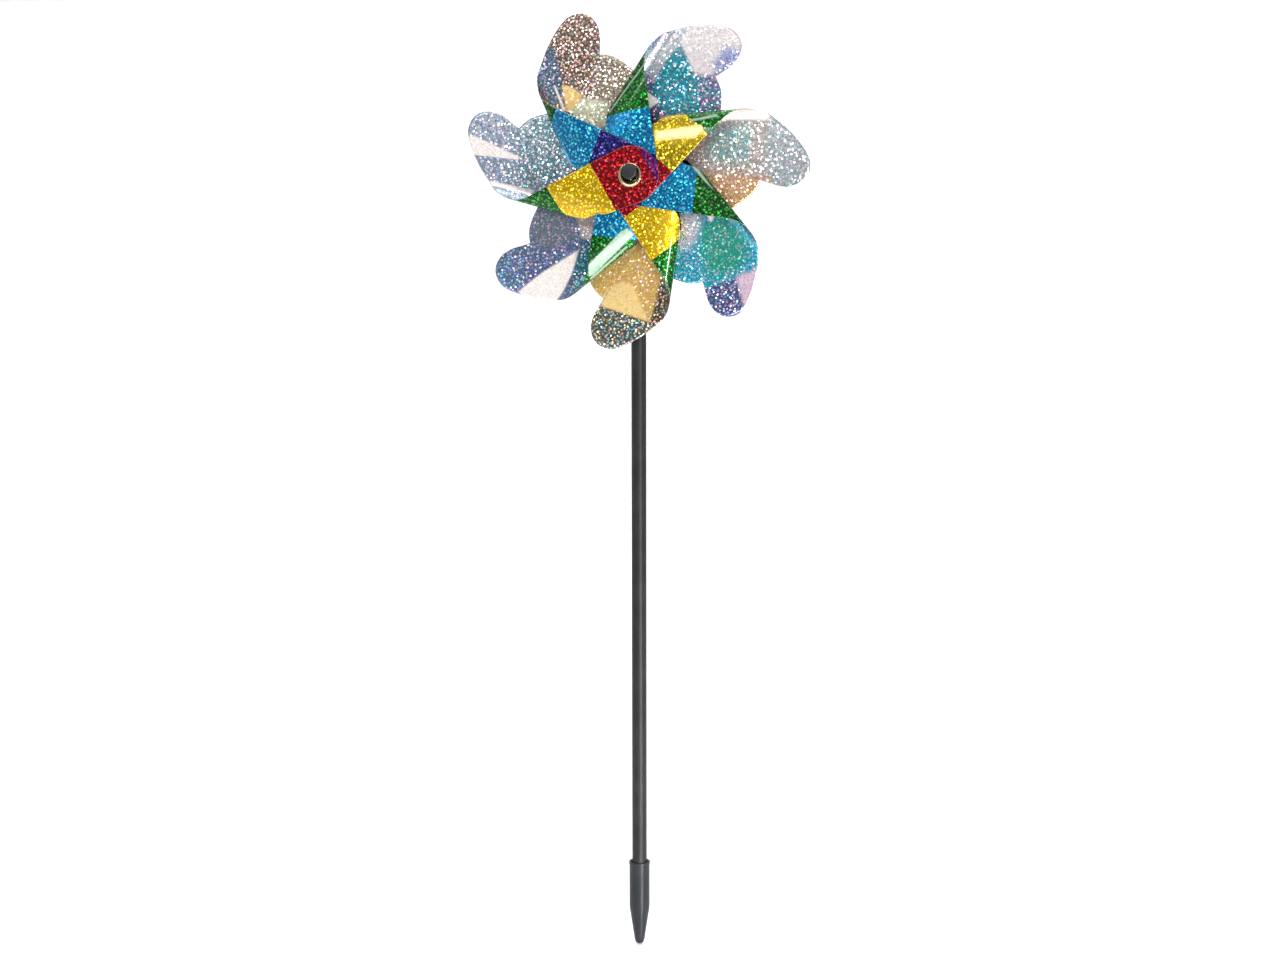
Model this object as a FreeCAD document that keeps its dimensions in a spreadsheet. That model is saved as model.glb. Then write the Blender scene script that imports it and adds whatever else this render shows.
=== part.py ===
import FreeCAD, Part
import math
import os
import Sketcher

# Garden wind spinner: seven looped film blades on a plastic pole with a ground spike.
# +Z is up and the wheel faces -Y.  The origin is on the pole axis at ground level,
# which is the underside of the ground spike's rim.  All sizes are in millimetres.

os.makedirs("parts", exist_ok=True)
doc = FreeCAD.newDocument("wind_spinner")

# ---------------------------------------------------------------- driving sizes
sheet = doc.addObject("Spreadsheet::Sheet", "Sizes")
SIZES = [
    ("wheel_height", 491.6, "wheel centre above the ground line"),
    ("pole_diameter", 10.6, "outside of the pole"),
    ("pole_wall", 1.2, "wall of the pole tube"),
    ("pole_over_axle", 11.0, "pole above the axle pin"),
    ("pole_in_spike", 30.4, "pole below the ground line"),
    ("cap_dome_height", 2.6, "top cap above the pole end"),
    ("cap_plug_length", 4.0, "top cap stem inside the pole"),
    ("spike_wall", 2.1, "wall of the spike's straight barrel"),
    ("spike_lip", 0.3, "how far the rim stands proud of the barrel"),
    ("spike_rim_height", 1.6, "height of the rim"),
    ("spike_rim_bevel", 0.5, "bevel around the top of the rim"),
    ("spike_barrel", 32.6, "ground line to the start of the taper"),
    ("spike_length", 60.4, "ground line to the point"),
    ("spike_tip_diameter", 7.2, "small end of the taper"),
    ("spike_mouth_gap", 0.85, "gap around the pole in the lead-in"),
    ("spike_mouth_depth", 5.0, "depth of the wide lead-in"),
    ("shaft_diameter", 4.2, "axle pin shank"),
    ("pin_point_taper", 0.42, "tapered end of the pin's tail"),
    ("pin_point_length", 0.63, "length of that taper"),
    ("head_overlap", 0.9, "pin head radius beyond the eyelet bore"),
    ("head_height", 2.6, "axle pin head"),
    ("pin_tail", 3.4, "pin beyond the back of the pole"),
    ("retainer_wall", 1.9, "wall of the push-on cap behind the pole"),
    ("retainer_roof", 1.2, "closed end of the push-on cap"),
    ("saddle_start", 2.85, "spacer and push-on cap begin this far from the pole axis"),
    ("spacer_overlap", 1.6, "saddle spacer radius beyond the eyelet bore"),
    ("spacer_nose", 2.6, "spacer in front of the pole surface"),
    ("eyelet_bore", 8.8, "hole the pin passes through"),
    ("eyelet_wall", 0.5, "barrel wall of an eyelet"),
    ("eyelet_flange_width", 3.1, "rolled rim beyond the barrel"),
    ("eyelet_flange_height", 1.1, "rolled rim of an eyelet"),
    ("eyelet_grip", 2.0, "barrel beyond the film stack"),
    ("hub_tube_wall", 1.9, "tube between the two film stacks"),
    ("edge_chamfer", 0.4, "broken edges of the small turned parts"),
    ("film_thickness", 0.3, "one film blade"),
    ("film_gap", 0.1, "between neighbouring films in a stack"),
    ("blade_count", 7.0, "film blades on the wheel"),
    ("first_direction", 160.0, "degrees from +X to blade 1, counter-clockwise"),
    ("set_1", 4.5, "degrees blade 1 sits ahead of even spacing"),
    ("set_2", 4.6, "degrees blade 2 sits ahead of even spacing"),
    ("set_3", -1.0, "degrees blade 3 sits ahead of even spacing"),
    ("set_4", -1.7, "degrees blade 4 sits ahead of even spacing"),
    ("set_5", -4.7, "degrees blade 5 sits ahead of even spacing"),
    ("set_6", -1.6, "degrees blade 6 sits ahead of even spacing"),
    ("set_7", 6.3, "degrees blade 7 sits ahead of even spacing"),
    ("blade_reach", 119.6, "wheel centre to the outer lobe"),
    ("loop_depth", 16.0, "back film plane to front film plane"),
    ("curl_side", 38.0, "wheel centre line to the side of the curl"),
    ("hub_tab_radius", 13.26, "round tab of the petal behind the hub"),
    ("arm_tip_radius", 19.5, "round end of the front arm"),
    ("arm_run_out", 52.6, "straight outer edge of the front arm"),
    ("arm_run_in", 23.9, "straight inner edge of the front arm"),
    ("arm_lean_out", 42.2, "degrees, outer edge of the arm to the petal line"),
    ("arm_lean_in", 33.4, "degrees, inner edge of the arm to the petal line"),
    ("trim_start", 14.0, "trailing part is trimmed from here along the next blade"),
    ("axial_play", 0.45, "wheel to pin head and wheel to spacer"),
    ("running_gap", 0.05, "eyelet bore to pin at the point of rest"),
    ("slip_gap", 0.1, "parts that slide together"),
    ("press_gap", 0.02, "parts pushed together"),
]
for row, (name, value, note) in enumerate(SIZES, start=1):
    sheet.set("A%d" % row, name)
    sheet.set("B%d" % row, "%g" % value)
    sheet.set("C%d" % row, note)
    sheet.setAlias("B%d" % row, name)
doc.recompute()


def size(name):
    """Current value of one driving size."""
    return float(sheet.get(name))


# ------------------------------------------------- depths in front of the pole axis
# Every depth is measured from the pole axis toward the viewer, which is -Y.
FRONT_OF_POLE = "(Sizes.pole_diameter / 2)"
SPACER_FRONT = "(%s + Sizes.spacer_nose)" % FRONT_OF_POLE
FILM_PITCH = "(Sizes.film_thickness + Sizes.film_gap)"
BACK_EYELET = "(%s + Sizes.axial_play)" % SPACER_FRONT
BACK_STACK = "(%s + Sizes.eyelet_flange_height + Sizes.film_gap)" % BACK_EYELET
STACK_HEIGHT = "(Sizes.blade_count * %s)" % FILM_PITCH
FRONT_STACK = "(%s + Sizes.loop_depth)" % BACK_STACK
FRONT_EYELET = "(%s + %s)" % (FRONT_STACK, STACK_HEIGHT)
HEAD_BACK = "(%s + Sizes.eyelet_flange_height + Sizes.axial_play)" % FRONT_EYELET
# The pin is thinner than the eyelet bore, so the wheel hangs below it.
HANG = "(Sizes.eyelet_bore / 2 - Sizes.shaft_diameter / 2 - Sizes.running_gap)"
AXLE_HEIGHT = "(Sizes.wheel_height + %s)" % HANG
POLE_TOP = "(%s + Sizes.pole_over_axle)" % AXLE_HEIGHT


# ---------------------------------------------------------------- modelling helpers
def origin_plane(body, role):
    """One of the body's own origin planes."""
    for feature in body.Origin.OriginFeatures:
        if feature.Role == role:
            return feature
    raise RuntimeError("no origin plane " + role)


def new_sketch(body, name, role):
    """Sketch on an origin plane of the body."""
    sketch = body.newObject("Sketcher::SketchObject", name)
    sketch.AttachmentSupport = [(origin_plane(body, role), "")]
    sketch.MapMode = "FlatFace"
    return sketch


def value_of(expression):
    """Evaluate a sheet expression for the first shape of a sketch."""
    return float(sheet.evalExpression(expression.replace("Sizes.", "")))


def closed_profile(sketch, corners):
    """Closed line profile; every corner is a pair of sheet expressions, driven by constraints."""
    points = []
    for across, along in corners:
        points.append(FreeCAD.Vector(value_of(across), value_of(along), 0))
    count = len(points)
    for index in range(count):
        sketch.addGeometry(Part.LineSegment(points[index], points[(index + 1) % count]), False)
    for index in range(count):
        following = (index + 1) % count
        sketch.addConstraint(Sketcher.Constraint("Coincident", index, 2, following, 1))
    for index, (across, along) in enumerate(corners):
        for kind, text, number in (("DistanceX", across, points[index].x),
                                   ("DistanceY", along, points[index].y)):
            place = sketch.addConstraint(Sketcher.Constraint(kind, -1, 1, index, 1, number))
            sketch.setExpression("Constraints[%d]" % place, text)


def turned_body(name, corners, axis="V_Axis"):
    """PartDesign body: the closed profile turned once around a sketch axis."""
    body = doc.addObject("PartDesign::Body", name)
    body.Label = name
    sketch = new_sketch(body, name + "_profile", "XZ_Plane")
    closed_profile(sketch, corners)
    turn = body.newObject("PartDesign::Revolution", name + "_turn")
    turn.Profile = sketch
    turn.ReferenceAxis = (sketch, [axis])
    turn.Angle = 360.0
    sketch.Visibility = False
    doc.recompute()
    return body


def face_forward(body, depth, height):
    """Turn a body made along +Z so that it points at the viewer, and set it in place."""
    body.Placement = FreeCAD.Placement(FreeCAD.Vector(0, 0, 0),
                                       FreeCAD.Rotation(FreeCAD.Vector(1, 0, 0), 90))
    body.setExpression("Placement.Base.y", "-(%s)" % depth)
    body.setExpression("Placement.Base.z", height)


def round_pocket(body, name, role, diameter, height, reach):
    """Round hole through the body, both ways from an origin plane."""
    sketch = new_sketch(body, name + "_circle", role)
    middle = FreeCAD.Vector(0, value_of(height), 0)
    sketch.addGeometry(Part.Circle(middle, FreeCAD.Vector(0, 0, 1), value_of(diameter) / 2), False)
    place = sketch.addConstraint(Sketcher.Constraint("Diameter", 0, value_of(diameter)))
    sketch.setExpression("Constraints[%d]" % place, diameter)
    sketch.addConstraint(Sketcher.Constraint("PointOnObject", 0, 3, -2))
    place = sketch.addConstraint(Sketcher.Constraint("DistanceY", -1, 1, 0, 3, middle.y))
    sketch.setExpression("Constraints[%d]" % place, height)
    pocket = body.newObject("PartDesign::Pocket", name)
    pocket.Profile = sketch
    pocket.Midplane = True
    pocket.setExpression("Length", reach)
    sketch.Visibility = False
    doc.recompute()


# ---------------------------------------------------------------- pole and its top cap
POLE_RADIUS = "Sizes.pole_diameter / 2"
POLE_BORE = "(Sizes.pole_diameter / 2 - Sizes.pole_wall)"
pole = turned_body("pole", [
    (POLE_BORE, "-Sizes.pole_in_spike"),
    (POLE_RADIUS, "-Sizes.pole_in_spike"),
    (POLE_RADIUS, POLE_TOP),
    (POLE_BORE, POLE_TOP),
])
round_pocket(pole, "pin_hole", "XZ_Plane", "Sizes.shaft_diameter + 2 * Sizes.press_gap",
             AXLE_HEIGHT, "2 * Sizes.pole_diameter")

# Shares of the pole radius and of the dome height, from the straight side to the crown.
CAP_DOME = ((1.0, 0.45), (0.72, 0.85), (0.35, 1.0), (0.0, 1.0))
CAP_STEM = "(%s - Sizes.press_gap)" % POLE_BORE
CAP_SEAT = "(%s + Sizes.press_gap)" % POLE_TOP
top_cap = turned_body("pole_top_cap", [
    ("0", "%s - Sizes.cap_plug_length" % POLE_TOP),
    (CAP_STEM, "%s - Sizes.cap_plug_length" % POLE_TOP),
    (CAP_STEM, CAP_SEAT),
    (POLE_RADIUS, CAP_SEAT),
] + [("%s * %g" % (POLE_RADIUS, across), "%s + Sizes.cap_dome_height * %g" % (CAP_SEAT, up))
     for across, up in CAP_DOME])

# ---------------------------------------------------------------- ground spike
BARREL = "(Sizes.pole_diameter / 2 + Sizes.spike_wall)"
RIM = "(%s + Sizes.spike_lip)" % BARREL
MOUTH = "(Sizes.pole_diameter / 2 + Sizes.spike_mouth_gap)"
SOCKET = "(Sizes.pole_diameter / 2 + Sizes.press_gap)"
TIP = "Sizes.spike_tip_diameter / 2"
LEAD_END = "(Sizes.spike_rim_height - Sizes.spike_mouth_depth)"
# Rounded point: radius and distance from the very end, as shares of the tip radius.
SPIKE_POINT = ((1.0, 0.75), (0.86, 0.38), (0.5, 0.1), (0.0, 0.0))
ground_spike = turned_body("ground_spike", [
    ("0", "-(Sizes.pole_in_spike + Sizes.slip_gap)"),
    (SOCKET, "-(Sizes.pole_in_spike + Sizes.slip_gap)"),
    (SOCKET, "%s - Sizes.spike_mouth_gap" % LEAD_END),
    (MOUTH, LEAD_END),
    (MOUTH, "Sizes.spike_rim_height"),
    ("%s - Sizes.spike_rim_bevel" % RIM, "Sizes.spike_rim_height"),
    (RIM, "Sizes.spike_rim_height - Sizes.spike_rim_bevel"),
    (RIM, "0"),
    (BARREL, "0"),
    (BARREL, "-Sizes.spike_barrel"),
] + [("%s * %g" % (TIP, across), "-(Sizes.spike_length - %s * %g)" % (TIP, up))
     for across, up in SPIKE_POINT])

# ---------------------------------------------------------------- axle pin and static hub parts
SHAFT = "Sizes.shaft_diameter / 2"
HEAD = "(Sizes.eyelet_bore / 2 + Sizes.head_overlap)"
TAIL = "-(%s + Sizes.pin_tail)" % FRONT_OF_POLE
# Head: shares of its radius and of its height, from the straight side to the flat top.
HEAD_DOME = ((1.0, 0.6), (0.93, 0.82), (0.78, 0.95), (0.6, 1.0), (0.0, 1.0))
axle_pin = turned_body("axle_pin", [
    ("0", TAIL),
    ("%s - Sizes.pin_point_taper" % SHAFT, TAIL),
    (SHAFT, "%s + Sizes.pin_point_length" % TAIL),
    (SHAFT, HEAD_BACK),
    (HEAD, HEAD_BACK),
] + [("%s * %g" % (HEAD, across), "%s + Sizes.head_height * %g" % (HEAD_BACK, up))
     for across, up in HEAD_DOME])
face_forward(axle_pin, "0", AXLE_HEIGHT)

SPACER = "(Sizes.eyelet_bore / 2 + Sizes.spacer_overlap)"
SADDLE_BORE = "Sizes.pole_diameter + 2 * Sizes.slip_gap"
PIN_CLEAR = "(Sizes.shaft_diameter / 2 + Sizes.slip_gap)"
pole_spacer = turned_body("pole_spacer", [
    (PIN_CLEAR, "Sizes.saddle_start"),
    (SPACER, "Sizes.saddle_start"),
    (SPACER, "%s - Sizes.edge_chamfer" % SPACER_FRONT),
    ("%s - Sizes.edge_chamfer" % SPACER, SPACER_FRONT),
    (PIN_CLEAR, SPACER_FRONT),
])
round_pocket(pole_spacer, "spacer_saddle", "XZ_Plane", SADDLE_BORE, "0", "4 * %s" % SPACER)
face_forward(pole_spacer, "0", AXLE_HEIGHT)

RETAINER_BORE = "(%s + Sizes.press_gap)" % SHAFT
RETAINER = "(%s + Sizes.retainer_wall)" % RETAINER_BORE
RETAINER_BACK = "-(%s + Sizes.pin_tail + Sizes.slip_gap + Sizes.retainer_roof)" % FRONT_OF_POLE
pin_retainer = turned_body("pin_retainer", [
    ("0", RETAINER_BACK),
    ("%s - Sizes.edge_chamfer" % RETAINER, RETAINER_BACK),
    (RETAINER, "%s + Sizes.edge_chamfer" % RETAINER_BACK),
    (RETAINER, "-Sizes.saddle_start"),
    (RETAINER_BORE, "-Sizes.saddle_start"),
    (RETAINER_BORE, "%s - Sizes.slip_gap" % TAIL),
    ("0", "%s - Sizes.slip_gap" % TAIL),
])
round_pocket(pin_retainer, "retainer_saddle", "XZ_Plane", SADDLE_BORE, "0", "4 * %s" % RETAINER)
face_forward(pin_retainer, "0", AXLE_HEIGHT)

# ---------------------------------------------------------------- eyelets and hub tube
BORE = "Sizes.eyelet_bore / 2"
BARREL_OUT = "(Sizes.eyelet_bore / 2 + Sizes.eyelet_wall)"
FLANGE = "(%s + Sizes.eyelet_flange_width)" % BARREL_OUT
ROLL = "Sizes.eyelet_flange_height"
EYELET_REACH = "(%s + Sizes.eyelet_grip)" % STACK_HEIGHT
# Rolled rim, from the flat face out to the film: distance in from the edge and height,
# both as shares of the rim height.
EYELET_ROLL = ((0.9, 1.0), (0.25, 0.75), (0.0, 0.35), (0.2, 0.0))
# Lead-in of the bore: how far it widens and how deep it goes, as shares of the rim height.
EYELET_MOUTH = (0.5, 0.2)
# Made with the barrel along +Z and the rolled rim at the bottom.
EYELET_PROFILE = [
    (BORE, "-%s * %g" % (ROLL, 1 - EYELET_MOUTH[1])),
    ("%s + %s * %g" % (BORE, ROLL, EYELET_MOUTH[0]), "-%s" % ROLL),
]
EYELET_PROFILE += [("%s - %s * %g" % (FLANGE, ROLL, inward), "-%s * %g" % (ROLL, up))
                   for inward, up in EYELET_ROLL]
EYELET_PROFILE += [
    (BARREL_OUT, "0"),
    (BARREL_OUT, EYELET_REACH),
    (BORE, EYELET_REACH),
]
back_eyelet = turned_body("back_eyelet", EYELET_PROFILE)
face_forward(back_eyelet, "(%s + Sizes.eyelet_flange_height)" % BACK_EYELET, "Sizes.wheel_height")

front_eyelet = turned_body("front_eyelet", EYELET_PROFILE)
face_forward(front_eyelet, FRONT_EYELET, "Sizes.wheel_height")
front_eyelet.Placement.Rotation = FreeCAD.Rotation(FreeCAD.Vector(1, 0, 0), -90)

TUBE_BORE = "(%s + Sizes.press_gap)" % BARREL_OUT
TUBE_OUT = "(%s + Sizes.hub_tube_wall)" % TUBE_BORE
hub_tube = turned_body("hub_tube", [
    (TUBE_BORE, "Sizes.film_gap"),
    (TUBE_OUT, "Sizes.film_gap"),
    (TUBE_OUT, "Sizes.loop_depth - %s - Sizes.film_gap" % STACK_HEIGHT),
    (TUBE_BORE, "Sizes.loop_depth - %s - Sizes.film_gap" % STACK_HEIGHT),
])
face_forward(hub_tube, "(%s + %s)" % (BACK_STACK, STACK_HEIGHT), "Sizes.wheel_height")


# ---------------------------------------------------------------- film blades
# A blade is one film strip.  Its back part is a two-lobed petal, its side curls
# forward in a half circle, and its front arm comes back over the wheel centre.
# Blade frame: X along the petal, Y toward the curl, Z forward.
# Outline points are shares of the reach along X and of the curl side along Y.
CURL_OUT = (0.652, 1.0)
CURL_IN = (0.27, 1.0)
OUTER_LOBE = (
    (0.752, 0.945), (0.819, 0.79), (0.886, 0.592), (0.949, 0.342), (0.991, 0.105), (1.0, -0.05),
    (0.987, -0.224), (0.949, -0.355), (0.886, -0.416), (0.815, -0.382), (0.757, -0.284))
NOTCH = (0.723, -0.242)
INNER_LOBE = (
    (0.702, -0.355), (0.669, -0.48), (0.62, -0.585), (0.565, -0.675), (0.50, -0.775),
    (0.42, -0.84), (0.34, -0.80), (0.27, -0.66))
TAB_SHOULDER = (0.130, 0.80)
BACK_SHOULDER = (0.17, 0.90)
ARM_SHOULDER_OUT = ((0.577, 0.925), (0.515, 0.78))
ARM_SHOULDER_IN = ((0.15, 0.864), (0.199, 0.96))
# Directions, in degrees from X, in which the petal's edges leave the round hub tab.
TAB_FROM, TAB_MIDDLE, TAB_TO = -48, 217, 122
# The cutting outlines close this far outside the curl, as a share of the curl side.
BEYOND = 1.1
# The trailing part ends where the next blade's curl has come this share of its bend sideways.
TRIM_SHARE = 0.5


def line_through(points):
    """Straight edges through the points."""
    edges = []
    for start, end in zip(points[:-1], points[1:]):
        edges.append(Part.makeLine(start, end))
    return edges


def curve_through(points):
    """One smooth edge through the points."""
    curve = Part.BSplineCurve()
    curve.interpolate(points)
    return [curve.toShape()]


def film_blade(step):
    """Film strip bent around the curl and trimmed; step is the angle to the next blade."""
    thick = size("film_thickness")
    side = size("curl_side")
    bend = size("loop_depth") / 2
    straight = side - bend
    reach = size("blade_reach")
    tip = size("arm_tip_radius")
    tab = size("hub_tab_radius")
    hole = size("eyelet_bore") / 2 + size("eyelet_wall") + size("press_gap")

    def at(along, across):
        """Point given as fractions of the reach and of the curl side."""
        return FreeCAD.Vector(along * reach, across * side, 0)

    # The U section, thick and wide enough for both outlines.
    outer = bend + thick / 2
    inner = bend - thick / 2
    low = -2 * side
    section = [
        Part.makeLine(FreeCAD.Vector(0, low, -thick / 2), FreeCAD.Vector(0, straight, -thick / 2)),
        Part.Arc(FreeCAD.Vector(0, straight, -thick / 2), FreeCAD.Vector(0, straight + outer, bend),
                 FreeCAD.Vector(0, straight, 2 * bend + thick / 2)).toShape(),
        Part.makeLine(FreeCAD.Vector(0, straight, 2 * bend + thick / 2),
                      FreeCAD.Vector(0, low, 2 * bend + thick / 2)),
        Part.makeLine(FreeCAD.Vector(0, low, 2 * bend + thick / 2),
                      FreeCAD.Vector(0, low, 2 * bend - thick / 2)),
        Part.makeLine(FreeCAD.Vector(0, low, 2 * bend - thick / 2),
                      FreeCAD.Vector(0, straight, 2 * bend - thick / 2)),
        Part.Arc(FreeCAD.Vector(0, straight, 2 * bend - thick / 2),
                 FreeCAD.Vector(0, straight + inner, bend),
                 FreeCAD.Vector(0, straight, thick / 2)).toShape(),
        Part.makeLine(FreeCAD.Vector(0, straight, thick / 2), FreeCAD.Vector(0, low, thick / 2)),
        Part.makeLine(FreeCAD.Vector(0, low, thick / 2), FreeCAD.Vector(0, low, -thick / 2)),
    ]
    strip = Part.Face(Part.Wire(section)).extrude(FreeCAD.Vector(2 * reach, 0, 0))
    strip.translate(FreeCAD.Vector(-reach / 2, 0, 0))

    def around(radius, degrees):
        """Point on a circle around the wheel centre."""
        angle = math.radians(degrees)
        return FreeCAD.Vector(radius * math.cos(angle), radius * math.sin(angle), 0)

    # Where the edge of the film passes around the curl.
    out_near = at(*CURL_OUT)
    out_far = at(CURL_OUT[0], BEYOND)
    in_near = at(*CURL_IN)
    in_far = at(CURL_IN[0], BEYOND)

    # Back outline: shoulder, outer lobe, notch, inner lobe, hub tab.
    tab_start = around(tab, TAB_FROM)
    tab_end = around(tab, TAB_TO)
    back_edges = line_through([out_far, out_near])
    back_edges += curve_through([out_near] + [at(*pair) for pair in OUTER_LOBE] + [at(*NOTCH)])
    back_edges += curve_through([at(*NOTCH)] + [at(*pair) for pair in INNER_LOBE])
    back_edges += line_through([at(*INNER_LOBE[-1]), tab_start])
    back_edges.append(Part.Arc(tab_start, around(tab, TAB_MIDDLE), tab_end).toShape())
    back_edges += line_through([tab_end, at(*TAB_SHOULDER)])
    back_edges += curve_through([at(*TAB_SHOULDER), at(*BACK_SHOULDER), in_near])
    back_edges += line_through([in_near, in_far, out_far])

    # Front outline: arm narrowing to a round end over the wheel centre.
    lean_out = size("arm_lean_out")
    lean_in = size("arm_lean_in")
    arm_out = around(tip, lean_out - 90)
    arm_in = around(tip, lean_in + 90)
    corner_out = arm_out + around(size("arm_run_out"), lean_out)
    corner_in = arm_in + around(size("arm_run_in"), lean_in)
    arm_end = around(tip, 180 + (lean_out + lean_in) / 2)
    front_edges = line_through([out_far, out_near])
    front_edges += curve_through([out_near] + [at(*pair) for pair in ARM_SHOULDER_OUT] + [corner_out])
    front_edges += line_through([corner_out, arm_out])
    front_edges.append(Part.Arc(arm_out, arm_end, arm_in).toShape())
    front_edges += line_through([arm_in, corner_in])
    front_edges += curve_through([corner_in] + [at(*pair) for pair in ARM_SHOULDER_IN] + [in_near])
    front_edges += line_through([in_near, in_far, out_far])

    def half(edges, base, height):
        """Part of the strip inside one outline."""
        face = Part.Face(Part.Wire(Part.__sortEdges__(edges)))
        prism = face.extrude(FreeCAD.Vector(0, 0, height))
        prism.translate(FreeCAD.Vector(0, 0, base))
        return strip.common(prism)

    # The trailing part stops just under the next blade's curl.
    under = straight + TRIM_SHARE * bend
    room = Part.makeBox(2 * reach, 2 * reach, 2 * bend,
                        FreeCAD.Vector(size("trim_start"), under - 2 * reach, -bend))
    room.rotate(FreeCAD.Vector(0, 0, 0), FreeCAD.Vector(0, 0, 1), -step)
    back = half(back_edges, -bend, 2 * bend).cut(room)
    front = half(front_edges, bend, 2 * bend)
    drill = Part.makeCylinder(hole, 4 * bend, FreeCAD.Vector(0, 0, -bend))
    blade = back.fuse(front).cut(drill).removeSplitter()
    if len(blade.Solids) != 1:
        raise RuntimeError("a blade came out in %d pieces" % len(blade.Solids))
    return blade.Solids[0]


count = int(round(size("blade_count")))
back_plane = value_of(BACK_STACK) + size("film_thickness") / 2
pitch = value_of(FILM_PITCH)
# Blade 1 is the front film of both stacks; the others follow clockwise, each one film deeper.
# The blades are pushed on by hand, so each one sits a few degrees off even spacing.
directions = []
for index in range(count):
    ahead = size("set_%d" % (index + 1))
    directions.append(size("first_direction") + ahead - index * 360.0 / count)
directions.append(directions[0] - 360.0)
for index in range(count):
    blade = doc.addObject("Part::Feature", "blade_%d" % (index + 1))
    blade.Label = "blade_%d" % (index + 1)
    blade.Shape = film_blade(directions[index] - directions[index + 1])
    upright = FreeCAD.Rotation(FreeCAD.Vector(1, 0, 0), 90)
    spin = FreeCAD.Rotation(FreeCAD.Vector(0, 1, 0), -directions[index])
    depth = back_plane + (count - 1 - index) * pitch
    blade.Placement = FreeCAD.Placement(FreeCAD.Vector(0, -depth, size("wheel_height")),
                                        spin.multiply(upright))
doc.recompute()

# ---------------------------------------------------------------- checks and export
exported = []
for thing in doc.Objects:
    for state in ("Invalid", "Error"):
        if state in thing.State:
            raise RuntimeError("%s is %s" % (thing.Label, state))
    is_body = thing.TypeId == "PartDesign::Body"
    if is_body or thing.TypeId == "Part::Feature":
        shape = thing.Shape
        if shape.isNull() or not shape.isValid() or len(shape.Solids) != 1:
            raise RuntimeError("%s has no single valid solid" % thing.Label)
        exported.append(thing)
for thing in exported:
    thing.Shape.exportStep("parts/%s.step" % thing.Label)
    box = thing.Shape.BoundBox
    print("%-14s volume %10.1f  x %7.1f %7.1f  y %7.1f %7.1f  z %7.1f %7.1f" % (
        thing.Label, thing.Shape.Volume, box.XMin, box.XMax, box.YMin, box.YMax, box.ZMin, box.ZMax))
print("exported", len(exported))
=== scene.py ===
"""Garden wind spinner: film wheel, eyelets, axle pin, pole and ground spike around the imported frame.

+Z is up, the wheel faces -Y and the origin is on the pole axis at ground level.  All in metres.
"""
import math

import bmesh
import bpy
import numpy as np
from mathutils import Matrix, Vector


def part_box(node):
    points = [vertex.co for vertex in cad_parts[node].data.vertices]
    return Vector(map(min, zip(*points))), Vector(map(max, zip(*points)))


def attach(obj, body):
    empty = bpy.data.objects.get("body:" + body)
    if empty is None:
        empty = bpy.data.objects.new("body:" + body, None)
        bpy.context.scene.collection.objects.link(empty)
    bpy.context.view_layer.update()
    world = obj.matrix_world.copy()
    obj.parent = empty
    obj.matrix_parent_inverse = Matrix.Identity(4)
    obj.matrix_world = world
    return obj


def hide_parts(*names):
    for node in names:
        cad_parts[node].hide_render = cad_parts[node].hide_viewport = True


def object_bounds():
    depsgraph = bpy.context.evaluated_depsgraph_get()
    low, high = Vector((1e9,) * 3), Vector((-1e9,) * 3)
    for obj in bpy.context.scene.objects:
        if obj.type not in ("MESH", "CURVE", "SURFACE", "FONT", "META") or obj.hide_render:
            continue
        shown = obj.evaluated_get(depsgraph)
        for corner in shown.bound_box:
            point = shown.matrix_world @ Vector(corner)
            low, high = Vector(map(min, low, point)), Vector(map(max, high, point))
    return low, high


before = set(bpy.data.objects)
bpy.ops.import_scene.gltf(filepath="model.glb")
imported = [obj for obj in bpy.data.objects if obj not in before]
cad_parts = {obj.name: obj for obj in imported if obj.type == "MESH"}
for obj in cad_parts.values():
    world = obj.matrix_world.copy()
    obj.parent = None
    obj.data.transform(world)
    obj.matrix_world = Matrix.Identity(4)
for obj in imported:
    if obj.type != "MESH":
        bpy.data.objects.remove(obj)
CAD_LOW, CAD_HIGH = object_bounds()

bl_info = {
    "name": "Garden Wind Spinner",
    "version": (1, 0, 0),
    "blender": (4, 5, 0),
    "location": "3D View > Sidebar > Spinner",
    "description": "Builds the film wheel, hub, pole and spike of a garden wind spinner",
    "category": "Object",
}

MM = 0.001
BLADE_COUNT = 7
# How much longer or shorter each petal is drawn beyond its curl than the common outline.
PETAL_STRETCH = (1.04, 0.94, 0.95, 1.0, 0.97, 1.0, 1.03)
# Direction of each petal's centre line, counter-clockwise from +X as seen from the front.
BLADE_DIRECTIONS = (164.5, 113.171, 56.143, 4.014, -50.414, -98.743, -142.271)


# ------------------------------------------------------------------ sizes and colours
class FilmSizes(bpy.types.PropertyGroup):
    """Shape of one film strip"""
    reach: bpy.props.FloatProperty(
        name="Reach", description="Wheel centre to the outer lobe", default=119.6 * MM, subtype="DISTANCE")
    curl_side: bpy.props.FloatProperty(
        name="Curl side", description="Petal centre line to the side of the curl",
        default=38 * MM, subtype="DISTANCE")
    front_ease: bpy.props.FloatProperty(
        name="Front ease", description="Width over which the curl flattens into the arm",
        default=26 * MM, subtype="DISTANCE")
    tip_radius: bpy.props.FloatProperty(
        name="Arm tip", description="Round end of the front arm", default=19.5 * MM, subtype="DISTANCE")
    tab_share: bpy.props.FloatProperty(
        name="Hub tab", description="Back tab radius as a share of the arm tip", default=0.68)
    cad_film: bpy.props.FloatProperty(
        name="Frame film", description="Film thickness in the frame", default=0.3 * MM, subtype="DISTANCE")
    film: bpy.props.FloatProperty(
        name="Film", description="Film thickness", default=0.2 * MM, subtype="DISTANCE")
    ripple: bpy.props.FloatProperty(
        name="Ripple", description="Height of the soft waves in a petal", default=0.55 * MM, subtype="DISTANCE")


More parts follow.
